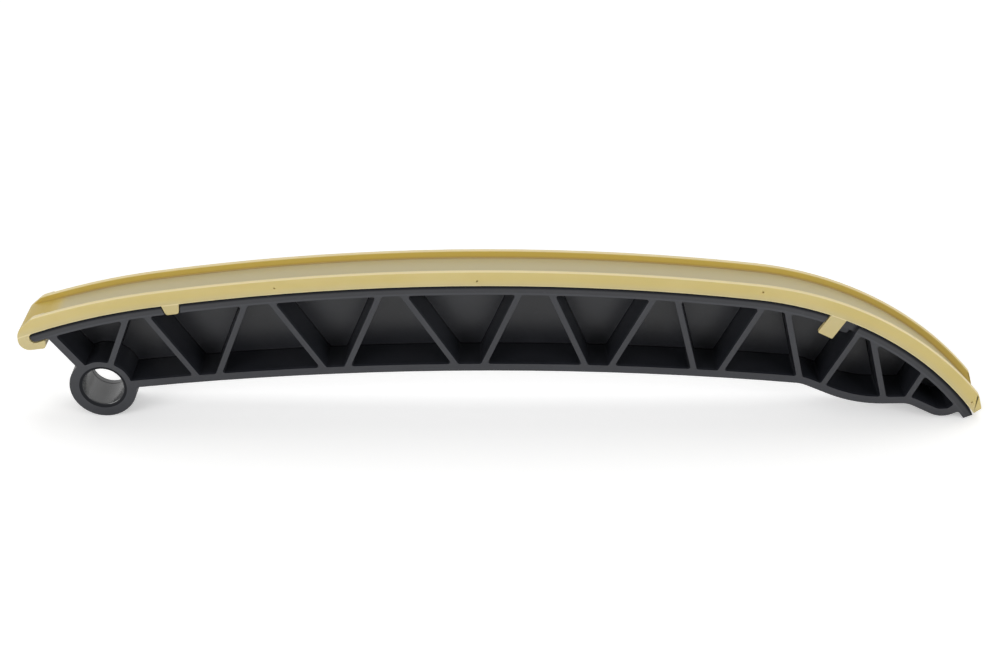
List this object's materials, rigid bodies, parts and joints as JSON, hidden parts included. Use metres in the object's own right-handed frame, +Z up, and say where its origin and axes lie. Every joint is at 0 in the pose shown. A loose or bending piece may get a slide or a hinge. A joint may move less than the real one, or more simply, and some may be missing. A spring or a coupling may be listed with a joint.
{
  "type": "timing chain guide",
  "caption": "Curved pivoting guide for an engine's timing chain: a ribbed moulded carrier with a boss at one end, and a channel-shaped slide shoe clipped along its top.",
  "frame": {"origin": "middle of the guide's length and width, on the surface that it stands on", "axes": "+X along the guide from the pivot boss to the free end, +Y from the carrier's open side to its closed side, +Z up, from the carrier to the slide shoe"},
  "size_m": [0.3045, 0.0156, 0.0528],
  "materials": {
    "carrier": "black glass-filled nylon, satin, with fine mould grain",
    "slide_shoe": "cream unfilled nylon, satin"
  },
  "bodies": {
    "root": {"carrier": "carrier", "slide_shoe": "slide_shoe"}
  },
  "joints": []
}
